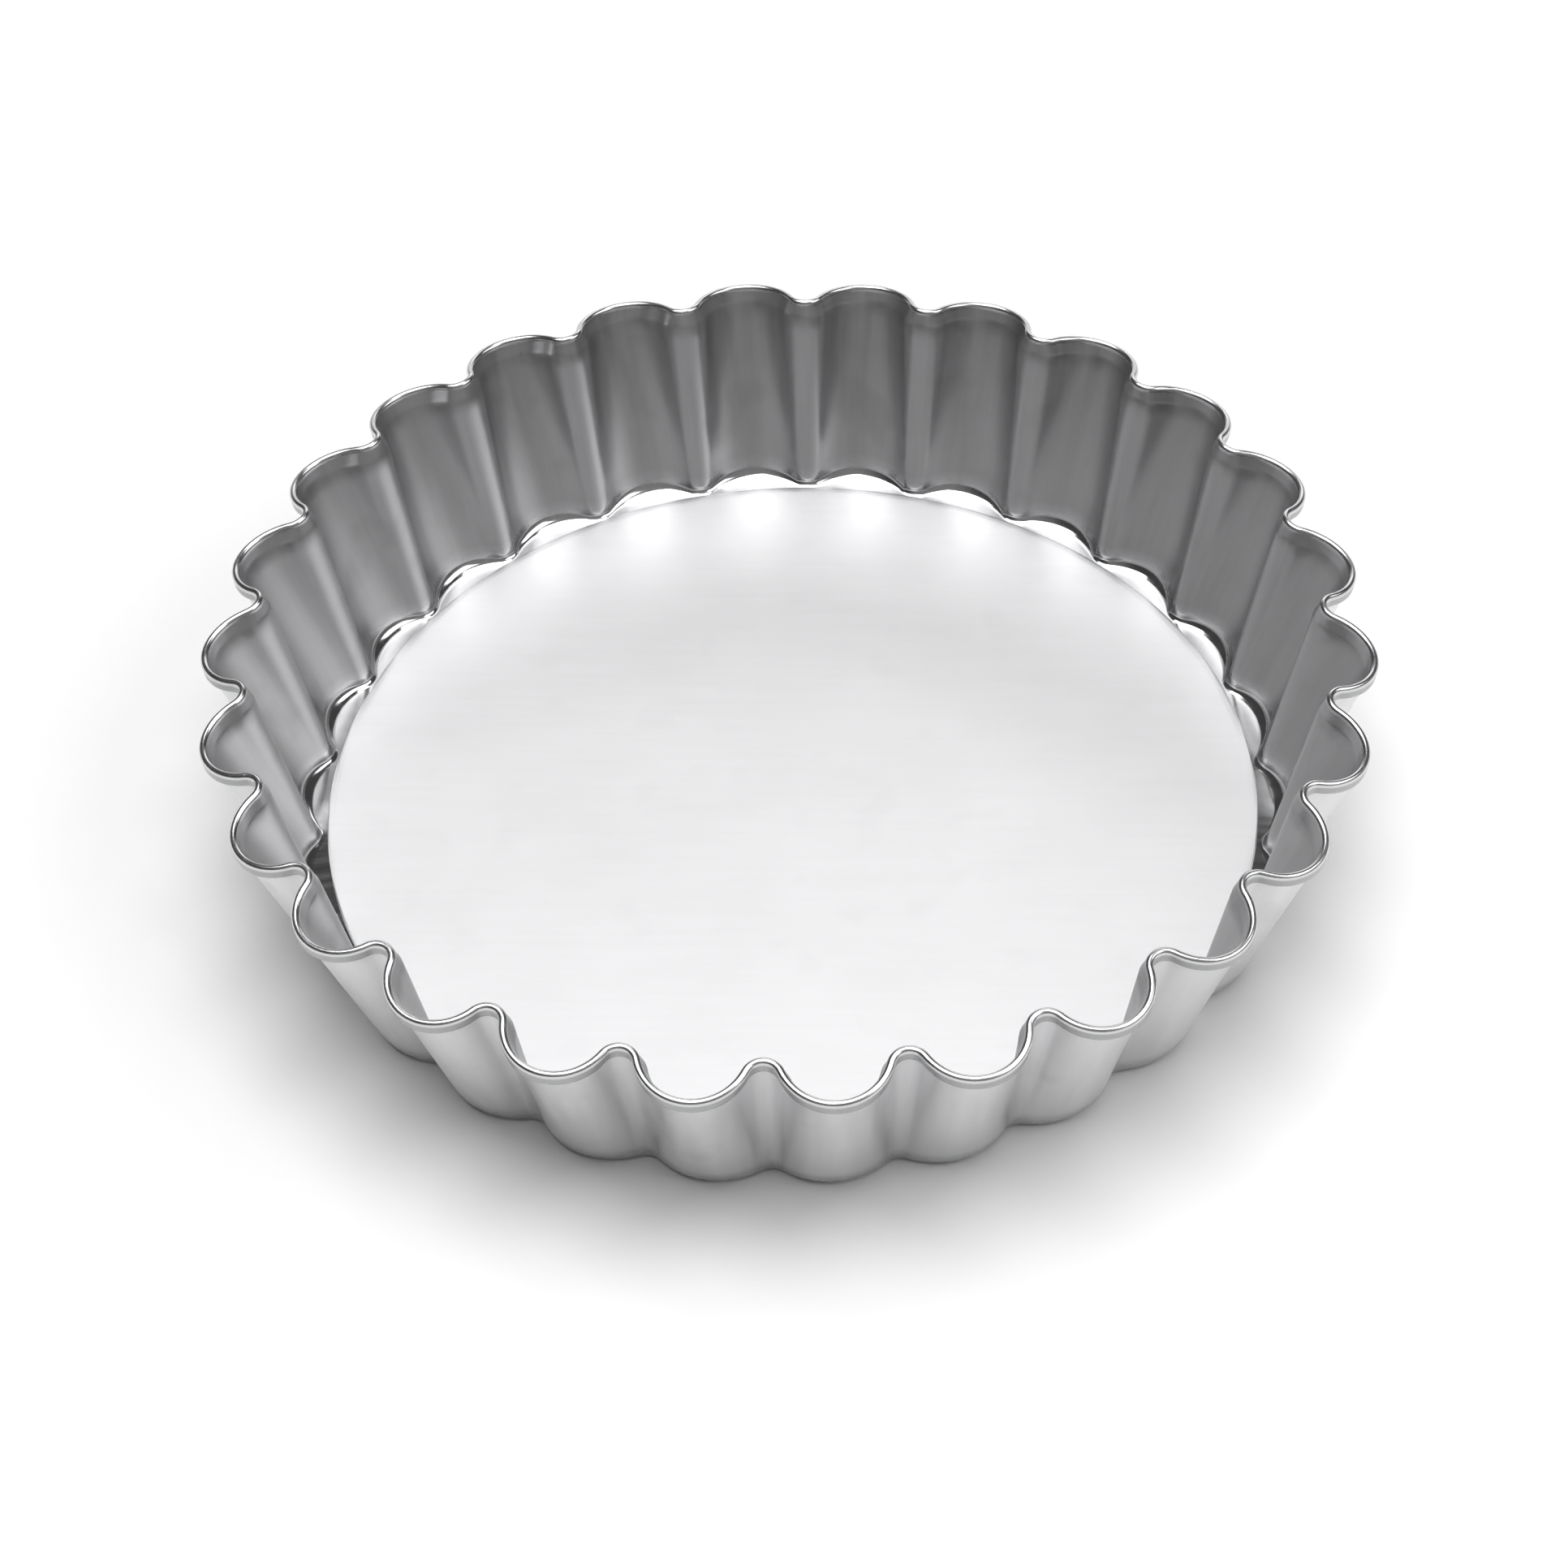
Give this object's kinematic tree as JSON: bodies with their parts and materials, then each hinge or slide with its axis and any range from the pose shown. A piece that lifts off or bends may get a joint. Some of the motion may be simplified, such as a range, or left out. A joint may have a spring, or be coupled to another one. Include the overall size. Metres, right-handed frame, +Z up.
{
  "type": "tart pan",
  "caption": "Round fluted sheet-metal tart pan: drafted wall with a hemmed rim and an inturned ledge, and a flat loose base that rests on the ledge and lifts out.",
  "frame": {"origin": "centre of the ring's underside, on the pan's axis, at the level that it stands on", "axes": "+Z up along the pan's axis, out of its mouth; +X through the crest of a flute, +Y through a groove"},
  "size_m": [0.12, 0.1192, 0.0228],
  "materials": {
    "ring_tinplate": "tin-plated pressed sheet, satin with draw marks",
    "base_tinplate": "tin-plated rolled sheet, bright satin"
  },
  "bodies": {
    "ring": {"fluted_ring": "ring_tinplate"},
    "base": {"loose_base": "base_tinplate"}
  },
  "joints": [
    {"name": "base_lift", "type": "slide", "parent": "ring", "child": "base", "axis": [0, 0, 1], "range_m": [0, 0.03]}
  ]
}
